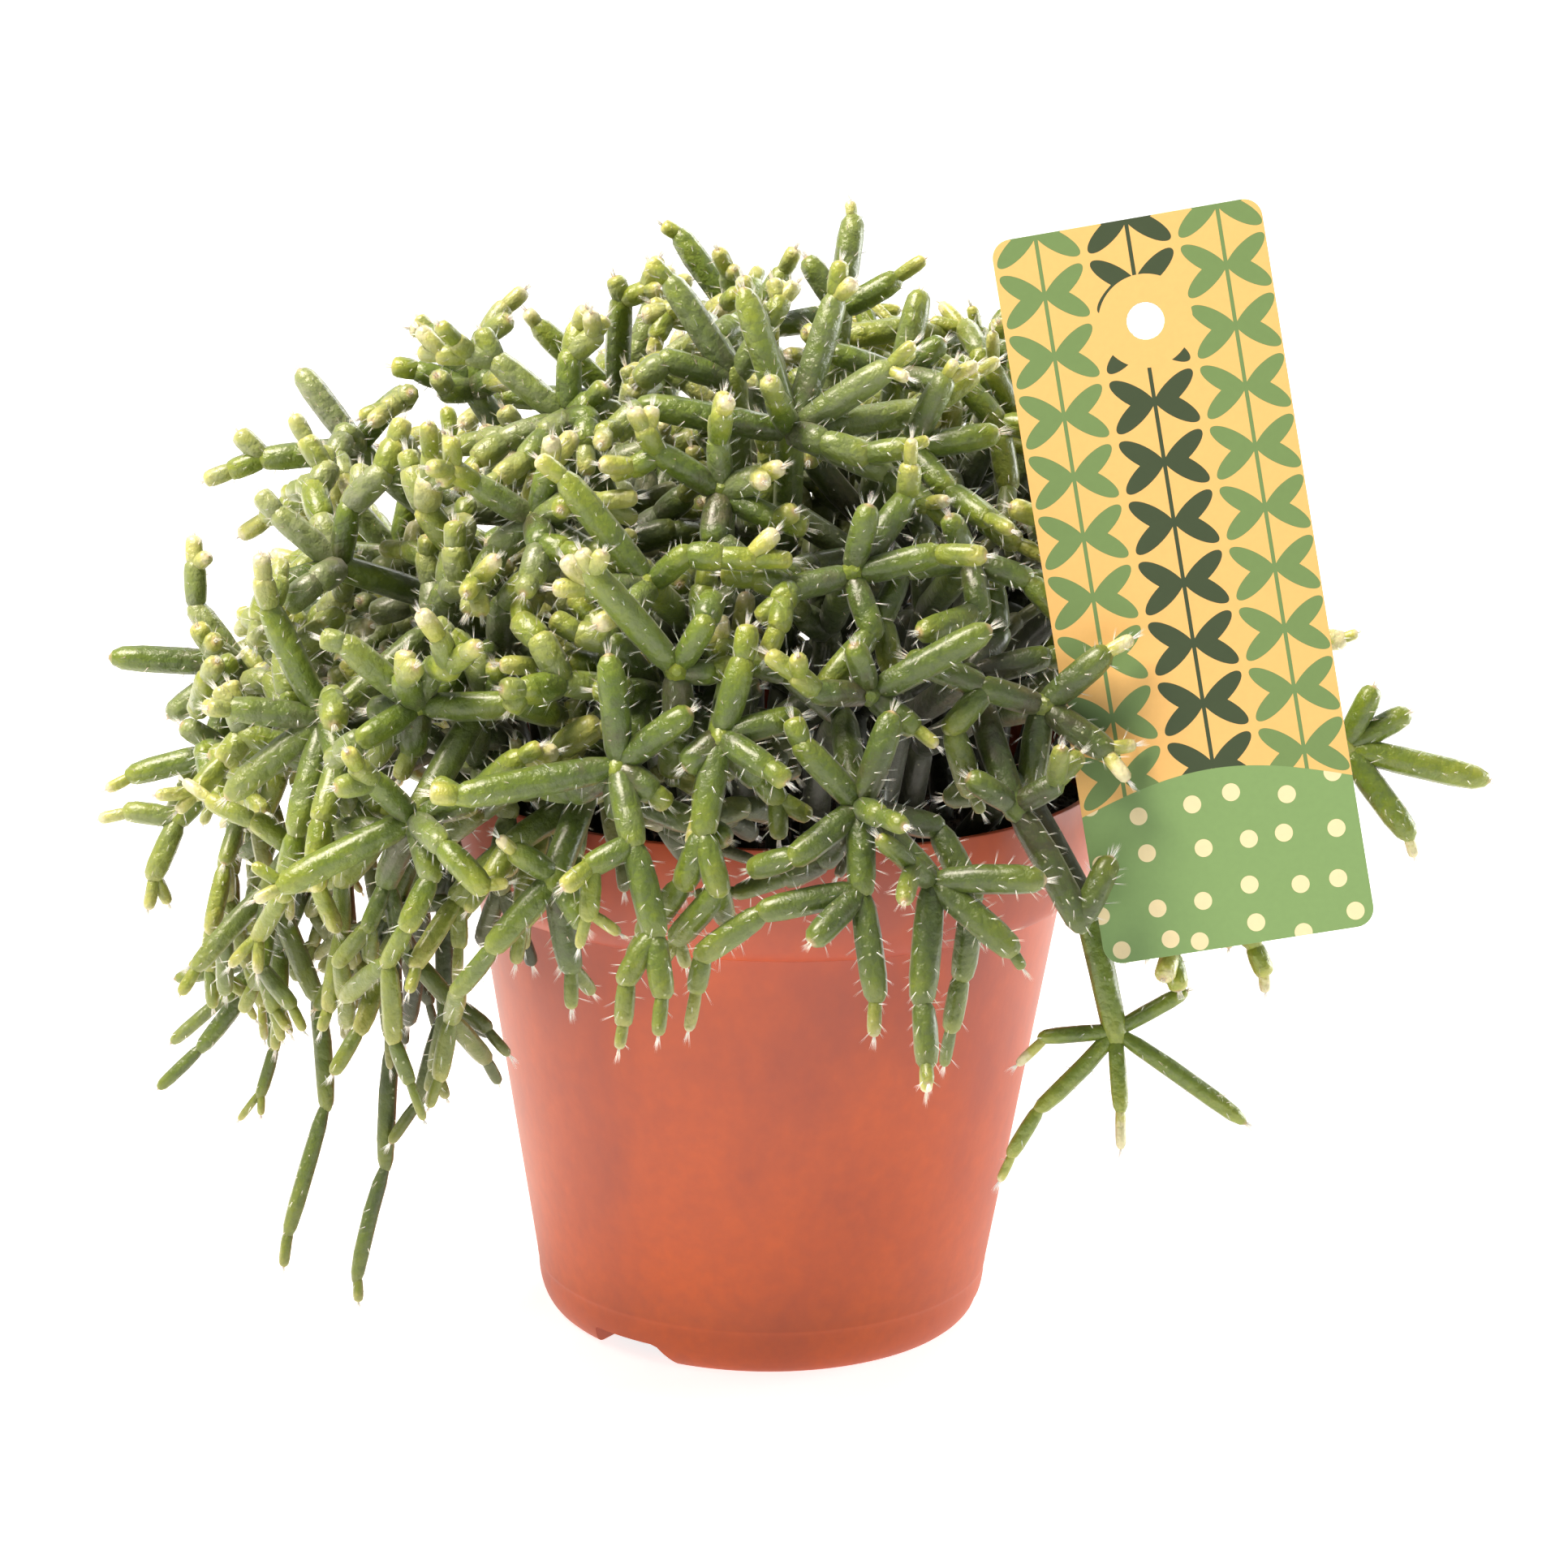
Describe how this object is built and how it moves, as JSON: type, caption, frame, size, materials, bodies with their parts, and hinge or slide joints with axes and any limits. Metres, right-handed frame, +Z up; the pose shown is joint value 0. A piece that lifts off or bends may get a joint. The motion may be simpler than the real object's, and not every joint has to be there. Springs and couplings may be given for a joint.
{
  "type": "potted mistletoe cactus",
  "caption": "Bushy mistletoe cactus in a round tapered nursery pot: bristly cylindrical joints in whorls mound over and trail past the rim, with a plain care label.",
  "frame": {"origin": "centre of the pot's flat underside, on the surface it stands on", "axes": "+Z up; -Y is the front, the side that the care label faces; +X to the right seen from the front"},
  "size_m": [0.2429, 0.2165, 0.2112],
  "materials": {
    "pot_plastic": "satin moulded polypropylene, terracotta colour",
    "potting_soil": "loose dark potting mix",
    "label_card": "printed plastic card, yellow over green",
    "cactus_joints": "waxy green living stems with fine white bristles"
  },
  "bodies": {
    "root": {"pot": "pot_plastic", "soil": "potting_soil", "care_label": "label_card", "cutting_01": "cactus_joints", "cutting_02": "cactus_joints", "cutting_03": "cactus_joints", "cutting_04": "cactus_joints", "cutting_05": "cactus_joints", "cutting_06": "cactus_joints", "cutting_07": "cactus_joints", "cutting_08": "cactus_joints", "cutting_09": "cactus_joints", "cutting_10": "cactus_joints", "cutting_11": "cactus_joints", "cutting_12": "cactus_joints", "cutting_13": "cactus_joints", "cutting_14": "cactus_joints", "cutting_15": "cactus_joints", "cutting_16": "cactus_joints", "cutting_17": "cactus_joints", "cutting_18": "cactus_joints", "cutting_19": "cactus_joints", "cutting_20": "cactus_joints", "cutting_21": "cactus_joints", "cutting_22": "cactus_joints", "cutting_23": "cactus_joints", "cutting_24": "cactus_joints", "cutting_25": "cactus_joints", "cutting_26": "cactus_joints", "cutting_27": "cactus_joints", "cutting_28": "cactus_joints", "cutting_29": "cactus_joints", "cutting_30": "cactus_joints", "cutting_31": "cactus_joints", "cutting_32": "cactus_joints", "cutting_33": "cactus_joints", "cutting_34": "cactus_joints", "cutting_35": "cactus_joints", "cutting_36": "cactus_joints", "cutting_37": "cactus_joints", "cutting_38": "cactus_joints", "cutting_39": "cactus_joints", "cutting_40": "cactus_joints", "cutting_41": "cactus_joints", "cutting_42": "cactus_joints", "cutting_43": "cactus_joints", "cutting_44": "cactus_joints", "cutting_45": "cactus_joints", "cutting_46": "cactus_joints", "cutting_47": "cactus_joints", "cutting_48": "cactus_joints", "cutting_49": "cactus_joints", "cutting_50": "cactus_joints", "cutting_51": "cactus_joints", "cutting_52": "cactus_joints", "cutting_53": "cactus_joints", "cutting_54": "cactus_joints", "cutting_55": "cactus_joints"}
  },
  "joints": []
}
